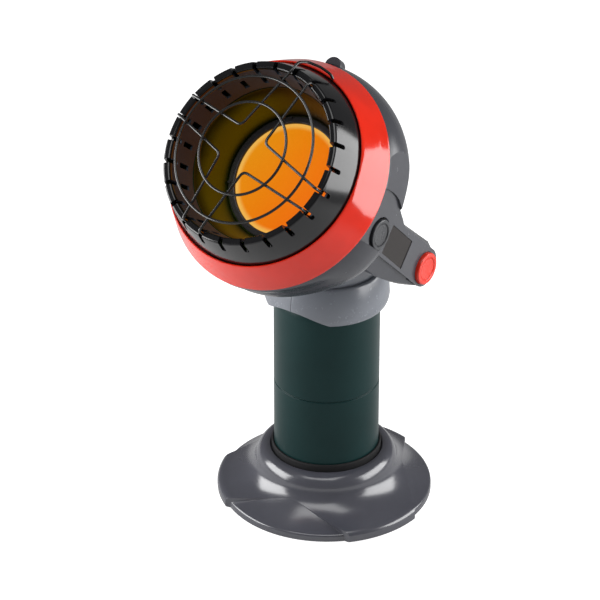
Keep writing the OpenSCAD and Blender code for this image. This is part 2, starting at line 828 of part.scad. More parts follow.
module belly(x0, g) {
    hull() {
        across(x0, x0 + 8) belly_outline(g);
        across(shell_top - 2.5, shell_top) {
            translate([face_mid, off_t]) circle(r = face_half + g, $fn = 48);
            translate([face_mid - face_half - g, off_t]) square([2 * (face_half + g), front_t + g - off_t]);
        }
    }
}

module control_shell() {
    color("dimgray") on_head() difference() {
        union() {
            belly(inner_x, 0);
            across(duct_x, shell_top) housing_outline(0);
        }
        difference() {
            union() {
                belly(inner_x + shell_wall, -shell_wall);
                across(duct_x - 1, far) housing_outline(-shell_wall);
            }
            for (p = housing_screws) rod_x(inner_x, shell_top, 3.4, p);
        }
        translate([0, -80, duct_t]) cube([duct_x, 160, far]);
        translate([cup_x - 0.3, -80, -far]) cube([40, 160, far + cup_t]);
        for (p = housing_screws) {
            rod_x(inner_x - 1, far, 1.6, p);
            rod_x(inner_x - 1, screw_head_x(p) + 2.1, 3, p);
        }
    }
}

housing_screws = [[face_mid, -152.6], [13.2, -61], [face_mid, -40.5]];

function screw_head_x(p) = p.y < duct_t ? 72 : duct_x;

module control_screws() {
    color("silver") on_head() for (p = housing_screws)
        translate([screw_head_x(p) + 17.5, p.x, p.y]) rotate([0, -90, 0]) screw(1.5, 2.8, 15.5);
}

module control_face() {
    color("#46484d") on_head() difference() {
        union() {
            across(shell_top + 0.2, face_x) housing_outline(0.3);
            rod_x(cup_x, face_x, face_half + 0.3, [face_mid, off_t]);
            across(cup_x, face_x)
                translate([face_mid - face_half - 0.3, off_t])
                    square([2 * face_half + 0.6, cup_t - 0.3 - off_t]);
        }
        rod_x(face_x - 10, face_x + 1, start_r + 0.4, [face_mid, start_t]);
        translate([face_x - 1.2, face_mid, start_t]) rotate([0, 90, 0])
            cylinder(h = 1.3, r1 = start_r + 0.4, r2 = start_r + 1.7);
        rod_x(cup_x + 2, face_x + 1, off_r + 0.4, [face_mid, off_t]);
        rod_x(cup_x - 1, face_x, off_stem_r + 0.15, [face_mid, off_t]);
        across(face_x - 1.2, face_x + 1)
            translate([face_mid - label_half, label_rear]) square([2 * label_half, label_front - label_rear]);
        for (p = housing_screws) rod_x(cup_x - 1, screw_head_x(p) + 18, 1.6, p);
    }
}

module label_plate() {
    color("#2a2422") on_head() across(face_x - 1.1, face_x - 0.5)
        translate([face_mid - label_half + 0.2, label_rear + 0.2])
            square([2 * label_half - 0.4, label_front - label_rear - 0.4]);
}

module start_button() {
    skirt_x = piezo_top + start_travel + 3.4;
    color("#2e3033") on_head() difference() {
        union() {
            rod_x(skirt_x, face_x - 0.4, start_r, [face_mid, start_t]);
            rod_x(piezo_top + 0.5, skirt_x + 8, stem_r, [face_mid, start_t]);
        }
        difference() {
            rod_x(skirt_x - 1, face_x - 2.4, start_r - 1.8, [face_mid, start_t]);
            rod_x(piezo_top, face_x, stem_r, [face_mid, start_t]);
        }
        translate([face_x + 60 - 1.2, face_mid, start_t]) sphere(r = 60, $fn = 120);
    }
}

module start_spring() {
    spring_x = piezo_top + 0.1;
    color("lightsteelblue") on_head() translate([spring_x, face_mid, start_t]) rotate([0, 90, 0])
        coil(6.5, 0.5, face_x - 2.6 - spring_x, 5);
}

module off_button() {
    top_x = face_x + 3.6;
    color("red") on_head() difference() {
        union() {
            rod_x(face_x - 0.7, top_x, off_r, [face_mid, off_t]);
            rod_x(cup_x - 3, top_x - 1, off_stem_r, [face_mid, off_t]);
        }
        difference() {
            rod_x(face_x - 2, top_x - 1.8, off_r - 2, [face_mid, off_t]);
            rod_x(face_x - 3, top_x, off_stem_r, [face_mid, off_t]);
        }
        translate([top_x + 70 - 1, face_mid, off_t]) sphere(r = 70, $fn = 120);
    }
}

module off_spring() {
    spring_x = cup_x + 2.1;
    color("lightsteelblue") on_head() translate([spring_x, face_mid, off_t]) rotate([0, 90, 0])
        coil(10.8, 0.5, face_x + 1.7 - spring_x, 3);
}

module valve_block() {
    color("goldenrod") on_head() difference() {
        translate([60, face_mid - 13, block_rear]) cube([31, 22, block_front - block_rear]);
        translate([68, -14, block_front - 8]) cylinder(h = 8.1, r = 1.1, $fn = 24);
        translate([72, -26, block_front - 8]) cylinder(h = 8.1, r = 2.2, $fn = 24);
    }
}

module magnet_unit() {
    color("silver") on_head() translate([74, face_mid, block_rear - 0.2]) rotate([180, 0, 0]) {
        cylinder(h = 16, r = 7.5, $fn = 48);
        cylinder(h = 4, r = 9, $fn = 6);
    }
}

module piezo_igniter() {
    color("#1a1a1a") on_head() difference() {
        rod_x(61.5, piezo_top, piezo_r, [face_mid, start_t]);
        rod_x(piezo_top - start_travel, piezo_top + 1, stem_r + 0.2, [face_mid, start_t]);
    }
}

// ---- tip-over switch ----

tip_at = [-12, 0, 292];
ball_r = 4.2;

module tip_switch() {
    color("#3c3c3c") translate(tip_at) difference() {
        cylinder(h = 19, r = 8, $fn = 48);
        translate([0, 0, 4]) cylinder(h = 12.6, r = ball_r + 0.6, $fn = 48);
        translate([0, 0, 2]) cylinder(h = 2.1, r1 = 2, r2 = ball_r + 0.6, $fn = 48);
        translate([0, 0, -1]) cylinder(h = 30, r = 1, $fn = 20);
    }
}

module tip_ball() {
    color("silver") translate(tip_at + [0, 0, 4 + ball_r]) sphere(r = ball_r, $fn = 48);
}

stand_base();
grip_ring();
base_feet();
cylinder_lower_half();
cylinder_upper_half();
cylinder_valve();
valve_core();
relief_valve();
inlet_seal();
nose_seal();
regulator_body();
inlet_pin();
regulator_diaphragm();
regulator_spring();
regulator_cap();
control_shell();
control_face();
label_plate();
start_button();
off_button();
start_spring();
off_spring();
valve_block();
magnet_unit();
piezo_igniter();
gas_tube();
jet_tube();
gas_jet();
venturi_tube();
burner_cup();
burner_gasket();
ceramic_tile();
burner_ring();
pilot_burner();
pilot_tube();
thermocouple();
igniter_electrode();
igniter_lead();
tip_switch();
tip_ball();
reflector_bowl();
front_ring();
red_bezel();
wire_guard();
heat_shield();
rear_cover();
neck_left();
neck_right();
neck_screws();
cover_screws();
control_screws();
burner_screws();
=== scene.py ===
import json
from math import cos, pi, radians, sin, sqrt, tau

import bmesh
import bpy
from mathutils import Matrix, Vector


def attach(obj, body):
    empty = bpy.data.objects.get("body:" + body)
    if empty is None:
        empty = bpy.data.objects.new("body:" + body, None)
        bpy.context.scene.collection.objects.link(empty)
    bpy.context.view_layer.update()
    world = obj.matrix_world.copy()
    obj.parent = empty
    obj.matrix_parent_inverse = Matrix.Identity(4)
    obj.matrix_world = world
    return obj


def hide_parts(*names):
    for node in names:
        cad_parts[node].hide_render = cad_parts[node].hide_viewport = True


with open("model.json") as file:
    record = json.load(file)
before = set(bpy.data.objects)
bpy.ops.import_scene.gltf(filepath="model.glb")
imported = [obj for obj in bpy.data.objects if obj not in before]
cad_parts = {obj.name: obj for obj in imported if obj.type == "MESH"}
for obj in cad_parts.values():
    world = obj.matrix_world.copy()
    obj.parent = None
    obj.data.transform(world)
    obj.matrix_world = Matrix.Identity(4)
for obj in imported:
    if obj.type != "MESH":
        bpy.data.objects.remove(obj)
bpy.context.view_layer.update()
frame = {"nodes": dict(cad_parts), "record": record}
nodes = frame["nodes"]
print("frame loaded:", len(nodes), "nodes")

mm = 0.001
head = {"across": -97, "up": 386, "tilt": 48.5}        # where the head's own frame sits
headPlace = (Matrix.Translation((0, head["across"] * mm, head["up"] * mm))
             @ Matrix.Rotation(radians(head["tilt"]), 4, "X"))


def curve(a, b, c, n=10):              # smooth bend from a to c that leaves a towards b
    a, b, c = Vector(a), Vector(b), Vector(c)
    steps = [i / n for i in range(n + 1)]
    return [(1 - s) ** 2 * a + 2 * s * (1 - s) * b + s * s * c for s in steps]


def turnRound(middle, r, start, end, n=8):
    angles = [radians(start + (end - start) * i / n) for i in range(n + 1)]
    return [(middle[0] + r * cos(a), middle[1] + r * sin(a)) for a in angles]


def lathe(profile, steps=192, closed=True):        # profile in millimetres, [radius, height]
    bm = bmesh.new()
    points = [bm.verts.new((p[0] * mm, 0, p[1] * mm)) for p in profile]
    pairs = list(zip(points, points[1:]))
    if closed:
        pairs.append((points[-1], points[0]))
    edges = [bm.edges.new(pair) for pair in pairs]
    bmesh.ops.spin(bm, geom=points + edges, cent=(0, 0, 0), axis=(0, 0, 1), angle=tau, steps=steps,
                   use_merge=True, use_duplicate=False)
    bmesh.ops.remove_doubles(bm, verts=bm.verts, dist=1e-6)
    bmesh.ops.dissolve_degenerate(bm, dist=1e-7, edges=bm.edges)
    bmesh.ops.recalc_face_normals(bm, faces=bm.faces)
    return bm


def slab(outline, low, high, axis="Z"):            # an outline pushed through from low to high
    place = {"Z": lambda u, v, w: (u, v, w), "X": lambda u, v, w: (w, u, v)}[axis]
    bm = bmesh.new()
    corners = [bm.verts.new(Vector(place(p[0], p[1], low)) * mm) for p in outline]
    face = bm.faces.new(corners)
    pushed = bmesh.ops.extrude_face_region(bm, geom=[face])["geom"]
    way = Vector(place(0, 0, high - low)) * mm
    bmesh.ops.translate(bm, vec=way, verts=[g for g in pushed if isinstance(g, bmesh.types.BMVert)])
    bmesh.ops.recalc_face_normals(bm, faces=bm.faces)
    return bm


# a round bar along the place's Z axis, or a cone where its far end has a radius of its own
def bar(r, low, high, sides=64, place=Matrix.Identity(4), endR=None):
    bm = bmesh.new()
    middle = Matrix.Translation((0, 0, (low + high) / 2 * mm))
    bmesh.ops.create_cone(bm, cap_ends=True, segments=sides, radius1=r * mm, radius2=(endR or r) * mm,
                          depth=(high - low) * mm, matrix=place @ middle)
    return bm


def alongX(across, along):             # points a bar or lathe along X and sets it at a spot
    return Matrix.Translation((0, across * mm, along * mm)) @ Matrix.Rotation(pi / 2, 4, "Y")


def skin(loops, closed):               # a surface through loops that have equal numbers of points
    bm = bmesh.new()
    rows = [[bm.verts.new(p) for p in loop] for loop in loops]
    for one, two in zip(rows, rows[1:] + rows[:1] if closed else rows[1:]):
        for i in range(len(one)):
            bm.faces.new((one[i - 1], one[i], two[i], two[i - 1]))
    if not closed:
        bm.faces.new(rows[0])
        bm.faces.new(rows[-1])
    bmesh.ops.recalc_face_normals(bm, faces=bm.faces)
    return bm


def moved(bm, matrix):
    bmesh.ops.transform(bm, matrix=matrix, verts=bm.verts)
    return bm


def joined(*parts):
    whole = bmesh.new()
    for part in parts:
        mesh = bpy.data.meshes.new("part")
        part.to_mesh(mesh)
        whole.from_mesh(mesh)
        bpy.data.meshes.remove(mesh)
    return whole


def repeated(bm, count, start=0):      # copies round the Z axis
    return joined(*[moved(bm.copy(), Matrix.Rotation(radians(start + 360 * k / count), 4, "Z"))
                    for k in range(count)])


def hullOf(points):
    bm = bmesh.new()
    for p in points:
        bm.verts.new(Vector(p) * mm)
    found = bmesh.ops.convex_hull(bm, input=bm.verts)
    inside = set(found["geom_interior"] + found["geom_unused"])
    bmesh.ops.delete(bm, geom=[v for v in bm.verts if v in inside], context="VERTS")
    bmesh.ops.dissolve_limit(bm, angle_limit=radians(1), verts=bm.verts, edges=bm.edges)
    bmesh.ops.recalc_face_normals(bm, faces=bm.faces)
    return bm


def scratchObject(bm):
    mesh = bpy.data.meshes.new("scratch")
    bm.to_mesh(mesh)
    thing = bpy.data.objects.new("scratch", mesh)
    bpy.context.scene.collection.objects.link(thing)
    return thing


def carve(bm, *tools, way="DIFFERENCE"):           # boolean work, done at once
    things = [scratchObject(bm)] + [scratchObject(tool) for tool in tools]
    for tool in things[1:]:
        step = things[0].modifiers.new("carve", "BOOLEAN")
        step.operation = way
        step.solver = "EXACT"
        step.object = tool
    result = bmesh.new()
    result.from_object(things[0], bpy.context.evaluated_depsgraph_get())
    for thing in things:
        bpy.data.meshes.remove(thing.data)
    bmesh.ops.remove_doubles(result, verts=result.verts, dist=2e-6)
    bmesh.ops.dissolve_degenerate(result, dist=1e-6, edges=result.edges)
    return result


def easeEdges(bm, width, sharp=30, segments=2, where=None):
    edges = [e for e in bm.edges if len(e.link_faces) == 2 and e.calc_face_angle() > radians(sharp)
             and (where is None or where((e.verts[0].co + e.verts[1].co) / 2 / mm))]
    bmesh.ops.bevel(bm, geom=edges, offset=width * mm, offset_type="OFFSET", segments=segments,
                    profile=0.5, affect="EDGES", clamp_overlap=True, material=-1)
    return bm


def wirePath(paths, r, sides):         # round wire through points in millimetres; (points, closed) pairs
    data = bpy.data.curves.new("wirePath", "CURVE")
    data.dimensions = "3D"
    data.bevel_depth = r * mm
    data.bevel_resolution = sides // 2 - 2
    data.use_fill_caps = True
    for points, closed in paths:
        spline = data.splines.new("POLY")
        spline.points.add(len(points) - 1)
        spline.use_cyclic_u = closed
        for spot, p in zip(spline.points, points):
            spot.co = (*(Vector(p) * mm), 1)
    thing = bpy.data.objects.new("wirePath", data)
    bpy.context.scene.collection.objects.link(thing)
    mesh = bpy.data.meshes.new_from_object(thing.evaluated_get(bpy.context.evaluated_depsgraph_get()))
    bm = bmesh.new()
    bm.from_mesh(mesh)
    bpy.data.meshes.remove(mesh)
    bpy.data.curves.remove(data)
    bmesh.ops.remove_doubles(bm, verts=bm.verts, dist=1e-6)
    bmesh.ops.recalc_face_normals(bm, faces=bm.faces)
    return bm


def cornersBent(points, r, n=8):       # a path with its inner corners bent round
    points = [Vector(p) for p in points]
    path = [points[0]]
    for before, corner, after in zip(points, points[1:], points[2:]):
        path += curve(corner + r * (before - corner).normalized(), corner,
                      corner + r * (after - corner).normalized(), n)
    return path + [points[-1]]


# turns a mesh into a finished piece, first moving it from the head's frame into place
def keep(name, bm, body, slot, replaced, onHead=True, smooth=35):
    if onHead:
        moved(bm, headPlace)
    mesh = bpy.data.meshes.new(name)
    bm.to_mesh(mesh)
    mesh.shade_smooth()
    mesh.set_sharp_from_angle(angle=radians(smooth))
    piece = bpy.data.objects.new(name, mesh)
    bpy.context.scene.collection.objects.link(piece)
    mesh.materials.append(finishes[slot])
    piece.modifiers.new("evenShading", "WEIGHTED_NORMAL").keep_sharp = True
    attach(piece, body)
    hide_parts(*replaced)
    print("made", name, len(mesh.polygons), "faces")


class Signal:                          # one output of a shader tree, used like a number
    def __init__(self, finish, socket):
        self.finish, self.socket = finish, socket

    def calc(self, operation, *values):
        return self.finish.add("ShaderNodeMath", {"operation": operation}, dict(enumerate(values)))

    def __add__(self, other):
        return self.calc("ADD", self, other)

    def __sub__(self, other):
        return self.calc("SUBTRACT", self, other)

    def __rsub__(self, other):
        return self.calc("SUBTRACT", other, self)

    def __mul__(self, other):
        return self.calc("MULTIPLY", self, other)

    def __pow__(self, other):
        return self.calc("POWER", self, other)

    __radd__ = __add__
    __rmul__ = __mul__

    def spread(self, low, high):       # 0 below low, 1 above high, smooth between
        return self.finish.add("ShaderNodeMapRange", {"interpolation_type": "SMOOTHSTEP"},
                               {"Value": self, "From Min": low, "From Max": high})


class Finish:
    def __init__(self, name, inputs):
        self.material = bpy.data.materials.new(name)
        self.material.use_nodes = True
        self.tree = self.material.node_tree
        self.shader = self.tree.nodes["Principled BSDF"]
        self.place = self.add("ShaderNodeTexCoord", output="Object")
        self.feed(self.shader, inputs)

    def add(self, kind, settings=None, inputs=None, output=0):
        node = self.tree.nodes.new(kind)
        for name, value in (settings or {}).items():
            if name == "stops":
                marks = node.color_ramp.elements
                while len(marks) < len(value):
                    marks.new(0.5)
                for mark, (spot, colour) in zip(marks, value):
                    mark.position = spot
                    mark.color = (*colour, 1)
            else:
                setattr(node, name, value)
        self.feed(node, inputs or {})
        return Signal(self, node.outputs[output])

    def feed(self, node, inputs):
        for name, value in inputs.items():
            if isinstance(value, Signal):
                self.tree.links.new(value.socket, node.inputs[name])
            else:
                node.inputs[name].default_value = value

    def noise(self, scale, detail=2, place=None, rough=0.5):
        return self.add("ShaderNodeTexNoise", {}, {"Vector": place or self.place, "Scale": scale,
                                                   "Detail": detail, "Roughness": rough})

    def tint(self, amount, first, second):         # mixes two colours
        return self.add("ShaderNodeMix", {"data_type": "RGBA"},
                        {0: amount, 6: (*first, 1) if isinstance(first, tuple) else first,
                         7: (*second, 1) if isinstance(second, tuple) else second}, output=2)

    def relief(self, height, depth):               # depth in millimetres
        self.feed(self.shader, {"Normal": self.add("ShaderNodeBump", {}, {
            "Height": height, "Distance": depth * mm, "Strength": 1.0})})

    def onHead(self):                              # the place in the head's own frame
        spot, turn, _ = headPlace.decompose()
        return self.add("ShaderNodeMapping", {"vector_type": "TEXTURE"}, {
            "Vector": self.place, "Location": spot, "Rotation": turn.to_euler()})

    def axes(self, place):
        return [self.add("ShaderNodeSeparateXYZ", {}, {"Vector": place}, output=k) for k in range(3)]

    def stretched(self, scale):
        return self.add("ShaderNodeMapping", {}, {"Vector": self.place, "Scale": scale})


def dimmed(colour, share):
    return tuple(channel * share for channel in colour)


def moulded(name, look):               # satin injection-moulded plastic with a fine grain
    finish = Finish(name, {"Specular IOR Level": look.get("gloss", 0.5), "Coat Roughness": 0.12})
    grain = finish.noise(2600, 3)
    cloud = finish.noise(28, 4)
    worn = finish.noise(210, 5, rough=0.65).spread(0.56, 0.74)
    darker, lighter = dimmed(look["colour"], 0.94), dimmed(look["colour"], 1.06)
    colour = finish.tint(cloud.spread(0.3, 0.7), darker, lighter)
    finish.feed(finish.shader, {
        "Base Color": finish.tint(worn * 0.05, colour, dimmed(look["colour"], 1.5)),
        "Roughness": cloud * 0.08 + worn * 0.03 + (look["rough"] - 0.04)})
    finish.relief(grain + cloud * 0.4, look.get("grain", 0.03))
    return finish.material


def painted(name, look):               # sprayed or enamelled metal, glossy, with slight orange peel
    finish = Finish(name, {"Metallic": 0.0, "Coat Weight": look.get("coat", 0.4), "Coat Roughness": 0.05,
                           "Specular IOR Level": look.get("gloss", 0.5)})
    peel = finish.noise(420, 2)
    cloud = finish.noise(18, 3)
    darker, lighter = dimmed(look["colour"], 0.93), dimmed(look["colour"], 1.07)
    colour = finish.tint(cloud.spread(0.35, 0.65), darker, lighter)
    rough = cloud * 0.05 + (look["rough"] - 0.025)
    if "inside" in look:               # the band that faces the fire has gone dull
        x, y, t = finish.axes(finish.onHead())
        fromWall = (x ** 2 + y ** 2) ** 0.5 - t * look["flare"]        # the band's wall is a cone
        band = (1 - fromWall.spread(*look["wall"])) * (1 - t.spread(*look["edge"]))
        patchy = finish.noise(60, 4).spread(0.3, 0.7)
        colour = finish.tint(band, colour, finish.tint(patchy, dimmed(look["inside"], 0.8), look["inside"]))
        rough = rough + band * 0.35
        finish.feed(finish.shader, {"Coat Weight": (1 - band) * look["coat"]})
    finish.feed(finish.shader, {"Base Color": colour, "Roughness": rough})
    finish.relief(peel, look.get("peel", 0.02))
    return finish.material


def metal(name, look):                 # bare metal with fine drawn or turned lines
    finish = Finish(name, {"Metallic": 1.0})
    lines = finish.noise(900, 2, finish.stretched(look.get("drawn", (1, 1, 0.04))))
    cloud = finish.noise(40, 4)
    finish.feed(finish.shader, {
        "Base Color": finish.tint(cloud.spread(0.3, 0.7), dimmed(look["colour"], 0.85), look["colour"]),
        "Roughness": lines * 0.12 + cloud * 0.1 + (look["rough"] - 0.1)})
    finish.relief(lines, look.get("lines", 0.008))
    return finish.material


def glowingTile(name, look):           # perforated ceramic at red heat, brighter at its rim
    finish = Finish(name, {"Emission Strength": look["strength"], "Roughness": 0.9,
                           "Specular IOR Level": 0.1})
    place = finish.onHead()
    x, y, _ = finish.axes(place)
    radius = (x ** 2 + y ** 2) ** 0.5
    holes = finish.add("ShaderNodeTexVoronoi", {"feature": "F1"},
                       {"Vector": place, "Scale": 620.0, "Randomness": 0.35})
    (wayX, wayY), (low, high) = look["coolWay"], look["coolSpan"]
    side = finish.add("ShaderNodeMapRange", {}, {
        "Value": x * wayX + y * wayY + finish.noise(30, 2) * 0.012, "From Min": low, "From Max": high})
    warmth = finish.add("ShaderNodeValToRGB", {"stops": look["stops"]}, {"Fac": side})
    rim = radius.spread(*look["rimSpan"])
    glow = finish.tint(rim * 0.9, warmth, look["rim"])
    glow = finish.tint(holes.spread(0.25, 0.6) * 0.16, glow, look["between"])
    finish.feed(finish.shader, {"Emission Color": glow,
                                "Base Color": finish.tint(rim, look["clay"], look["clayRim"])})
    finish.relief(holes, 0.2)
    return finish.material


def heatTinted(name, look):            # spun reflector: bands round its axis, bronze heat colours, and painted shade on one side
    finish = Finish(name, {"Metallic": 1.0})
    place = finish.onHead()
    x, y, t = finish.axes(place)
    radius = (x ** 2 + y ** 2) ** 0.5
    bands = finish.add("ShaderNodeTexNoise", {"noise_dimensions": "1D"},
                       {"W": radius * 1.0 + t * 0.4, "Scale": 900.0, "Detail": 2.0})
    cloud = finish.noise(22, 3)
    low, high = look["depth"]
    depth = finish.add("ShaderNodeMapRange", {}, {
        "Value": t + cloud * 0.012, "From Min": low, "From Max": high})
    colour = finish.add("ShaderNodeValToRGB", {"stops": look["stops"]}, {"Fac": depth})
    # painted shade: the bowl is tinted dark brown towards one side, where it lies in shade
    wayX, wayY = look["shadeWay"]
    side = (x * wayX + y * wayY + cloud * 0.03).spread(*look["shadeSpan"])
    colour = finish.tint(side * 0.85, colour, look["shadeColour"])
    rough = bands * 0.1 + cloud * 0.1 + look["rough"]
    finish.feed(finish.shader, {"Base Color": colour, "Roughness": rough})
    finish.relief(bands, 0.01)
    return finish.material


looks = {
    "stand": (moulded, {"colour": (0.062, 0.063, 0.078), "rough": 0.2, "gloss": 1.0, "grain": 0.006}),
    "housing": (moulded, {"colour": (0.055, 0.057, 0.067), "rough": 0.25, "grain": 0.005}),
    "neck": (moulded, {"colour": (0.165, 0.178, 0.205), "rough": 0.26, "gloss": 0.7, "grain": 0.005}),
    "start": (moulded, {"colour": (0.035, 0.037, 0.042), "rough": 0.28, "grain": 0.005}),
    "off": (moulded, {"colour": (0.72, 0.03, 0.012), "rough": 0.2, "grain": 0.01}),
    "label": (moulded, {"colour": (0.02, 0.016, 0.015), "rough": 0.22, "grain": 0.005, "gloss": 0.2}),
    "internal": (moulded, {"colour": (0.018, 0.018, 0.019), "rough": 0.5}),
    "rubber": (moulded, {"colour": (0.012, 0.012, 0.013), "rough": 0.7, "gloss": 0.25, "grain": 0.06}),
    "lead": (moulded, {"colour": (0.35, 0.02, 0.015), "rough": 0.5}),
    "gasket": (moulded, {"colour": (0.62, 0.6, 0.52), "rough": 0.95, "grain": 0.2, "gloss": 0.1}),
    "ceramic": (moulded, {"colour": (0.8, 0.78, 0.72), "rough": 0.25, "grain": 0.01}),
    "bezel": (painted, {"colour": (0.78, 0.02, 0.004), "rough": 0.1, "coat": 0.2, "peel": 0.004}),
    "ring": (painted, {"colour": (0.006, 0.006, 0.007), "rough": 0.14, "coat": 0.0, "peel": 0.006,
                       "inside": (0.026, 0.036, 0.052), "flare": 0.182, "wall": (0.0738, 0.0746),
                       "edge": (0.025, 0.0275)}),
    "wire": (painted, {"colour": (0.012, 0.012, 0.012), "rough": 0.25, "coat": 0.3, "peel": 0.01}),
    "cylinder": (painted, {"colour": (0.006, 0.027, 0.027), "rough": 0.34, "coat": 0.0, "gloss": 0.15}),
    "steel": (metal, {"colour": (0.55, 0.55, 0.56), "rough": 0.32}),
    "casting": (metal, {"colour": (0.5, 0.5, 0.51), "rough": 0.48, "drawn": (1, 1, 1), "lines": 0.03}),
    "brass": (metal, {"colour": (0.72, 0.5, 0.2), "rough": 0.3}),
    "burner": (painted, {"colour": (0.03, 0.025, 0.03), "rough": 0.4, "coat": 0.0}),
    # the bowl's dark brown side tint is painted shade
    "bowl": (heatTinted, {"rough": 0.34, "depth": (-0.047, 0.0), "shadeColour": (0.045, 0.028, 0.018),
                          "shadeWay": (0.75, 0.65), "shadeSpan": (0.005, 0.07), "stops": [
        (0.0, (0.06, 0.08, 0.02)), (0.3, (0.11, 0.17, 0.012)), (0.75, (0.11, 0.19, 0.014)),
        (1.0, (0.03, 0.05, 0.01))]}),
    "tile": (glowingTile, {"strength": 0.8, "rim": (1.0, 0.6, 0.12), "rimSpan": (0.0455, 0.0505),
                           "between": (0.7, 0.12, 0.0), "clay": (0.2, 0.07, 0.01),
                           "clayRim": (0.25, 0.12, 0.02), "coolWay": (0.85, -0.35),
                           "coolSpan": (-0.045, 0.05), "stops": [
        (0.0, (0.92, 0.36, 0.006)), (0.45, (0.95, 0.25, 0.0)), (1.0, (1.0, 0.14, 0.0))]}),
}
finishes = {slot: make(slot, look) for slot, (make, look) in looks.items()}
print("finishes made:", len(finishes))


stand = {"rim": 103.5, "lip": 48, "socket": 54, "mouth": 52, "facetTurn": -82, "facetTip": 72,
         "facetRim": 99.7, "facetHalf": 39.3, "floor": 13.7, "ribs": 9, "ribHalf": 1.1, "feet": 6,
         "footRing": 88, "footTurn": 8, "footR": 6, "pad": 12, "bottom": 1.5, "ringGap": 0.3, "grip": 49.6}


def makeStand(s):
    rim, lip, mouth, socket = s["rim"], s["lip"], s["mouth"], s["socket"]
    floor, bottom = s["floor"], s["bottom"]
    bell = turnRound((mouth + 2, lip - 2), 2, 180, 90, 8)
    bell += curve((mouth + 3, lip), (socket + 9, lip - 0.2), (socket + 12.2, lip - 10.5), 20)
    bell += curve((socket + 12.4, lip - 11.5), (socket + 15.5, 21.5), (socket + 41, 13.5), 22)
    bell += curve((rim - 5.5, 12.8), (rim, 11.4), (rim, 6.5), 10)
    bell += curve((rim, 3), (rim, bottom), (rim - 1.3, bottom), 4)
    under = [(rim - 5.6, bottom), (rim - 5.6, 2.6), (rim - 9, 5.9), (rim - 17, 11), (rim - 25, 15.6),
             (socket + 20, 20.6), (socket + 15, 26), (socket + 11.5, 32), (socket + 8.5, 38),
             (socket + 4, lip - 6.5)]
    cup = [(socket + 2.6, lip - 8), (socket + 2.6, floor - 2.5), (0, floor - 2.5), (0, floor),
           (socket - 3, floor), (socket - 3, floor + 11), (socket, floor + 11), (socket, lip - 5),
           (mouth, lip - 3), (mouth, lip - 2)]
    shell = lathe(bell + under + cup, 240, closed=False)
    tip, edge = s["facetTip"], s["facetRim"]
    low = curve((tip, 26), (tip + 8.7, 15.6), (edge - 1.7, 8.3), 20)
    low += curve((edge - 1.4, 8.15), (edge, 7.4), (edge, 5), 6)
    above = lathe(low + [(edge, -1), (rim + 20, -1), (rim + 20, lip), (tip, lip)], 240)
    start = Vector((tip, 0))
    half = radians(s["facetHalf"])
    ends = [start + 1.15 * (rim * Vector((cos(half), way * sin(half))) - start) for way in (1, -1)]
    wedge = slab([start, ends[1], (rim * 1.15, ends[1][1]), (rim * 1.15, ends[0][1]), ends[0]], -1, lip)
    facets = repeated(carve(above, wedge, way="INTERSECT"), 3, s["facetTurn"])
    shell = carve(shell, facets)
    easeEdges(shell, 0.8, 14, 3, lambda p: p.z > 4 and p.xy.length > 70)
    space = lathe([(p[0] + 0.4, p[1] + 0.4) for p in under if p[1] > 2]
                  + [(socket + 1, lip - 8), (socket + 1, bottom), (rim - 5.2, bottom)], 120)
    half = s["ribHalf"]
    rib = slab([(socket + 1, 7), (socket + 1, lip), (rim - 8, lip), (rim - 8, 7)], -half, half)
    ribs = repeated(moved(rib, Matrix.Rotation(pi / 2, 4, "X")), s["ribs"])
    boss = bar(s["footR"] + 1.2, bottom, 22, 40, Matrix.Translation((s["footRing"] * mm, 0, 0)))
    bosses = repeated(boss, s["feet"], s["footTurn"])
    recess = bar(s["footR"] + 0.1, -1, 3.3, 40, Matrix.Translation((s["footRing"] * mm, 0, 0)))
    ribs = carve(ribs, space, way="INTERSECT")
    bosses = carve(bosses, space, way="INTERSECT")
    bosses = carve(bosses, repeated(recess, s["feet"], s["footTurn"]))
    middle = carve(bar(s["pad"] + 2, bottom, floor - 1, 64), bar(s["pad"] + 0.1, -1, 3.3, 64))
    return joined(shell, ribs, bosses, middle)


def makeGripRing(s):                   # two soft lips hold the cylinder, at its foot and at the mouth
    outer, neck, grip = s["socket"] - s["ringGap"], s["mouth"] - s["ringGap"], s["grip"]
    low, lip, top = s["floor"] + 11.1, s["lip"], s["lip"] + 6
    hollow = grip + 0.9
    profile = [(hollow, low), (outer, low), (outer, lip - 5.4), (neck, lip - 3.4), (neck, top - 2.4)]
    profile += curve((neck, top - 2), (neck, top), (neck - 1.2, top), 6)
    profile += curve((grip + 0.4, top), (grip, top), (grip, top - 0.6), 4)
    profile += [(grip, top - 3), (hollow, top - 4), (hollow, low + 4.5), (grip, low + 3.5)]
    profile += [(grip, low + 1.5)]
    return lathe(profile, 160)


tank = {"r": 49.3, "bottom": 14, "seam": 121, "shoulder": 204, "top": 229, "knuckle": 22, "edge": 7.3,
        "wall": 1.2, "lap": 10, "hole": 12.85, "relief": 27, "reliefR": 3.65}


